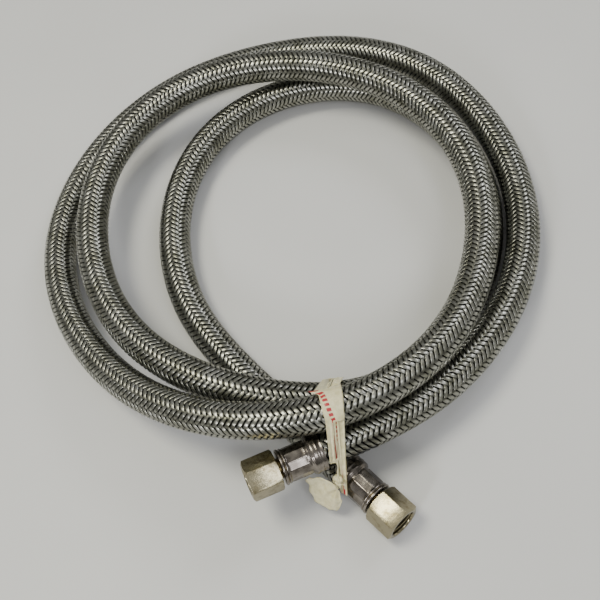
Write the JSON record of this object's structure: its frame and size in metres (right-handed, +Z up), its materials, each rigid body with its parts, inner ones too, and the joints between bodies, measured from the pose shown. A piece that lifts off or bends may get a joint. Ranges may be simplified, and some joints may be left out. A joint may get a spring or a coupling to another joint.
{
  "type": "braided supply line",
  "caption": "Braided flexible water supply hose coiled and tied for storage, with a swivel hexagon nut and a crimped ferrule at each end.",
  "frame": {"origin": "on the floor, under the middle of the bounding box of the coil as it lies", "axes": "+Z up, through the coil's open middle; +Y from the tie and the two fittings towards the coil's plain side; +X to the right when the fittings are at the near side"},
  "size_m": [0.2262, 0.2563, 0.0449],
  "materials": {
    "nickel_plated_brass": "satin nickel plate, slightly yellowed",
    "black_rubber": "matte",
    "turned_brass": "as turned",
    "stainless_sheet": "drawn and crimped",
    "black_tube": "smooth, extruded",
    "stainless_braid": "woven bright wire",
    "cream_strip": "crumpled, slightly translucent"
  },
  "bodies": {
    "hose": {"left_cone_washer": "black_rubber", "left_stem": "turned_brass", "left_ferrule": "stainless_sheet", "right_cone_washer": "black_rubber", "right_stem": "turned_brass", "right_ferrule": "stainless_sheet", "inner_tube": "black_tube", "braid_sleeve": "stainless_braid", "bundle_tie": "cream_strip"},
    "left_nut": {"left_nut": "nickel_plated_brass"},
    "right_nut": {"right_nut": "nickel_plated_brass"}
  },
  "joints": [
    {"name": "left_nut_spin", "type": "hinge", "parent": "hose", "child": "left_nut", "pos_m": [-0.00055, -0.10831, 0.02564], "axis": [-0.8978, -0.4294, 0.0976], "continuous": true},
    {"name": "right_nut_spin", "type": "hinge", "parent": "hose", "child": "right_nut", "pos_m": [0.04622, -0.11771, 0.00881], "axis": [0.7174, -0.6963, 0.0211], "continuous": true}
  ]
}
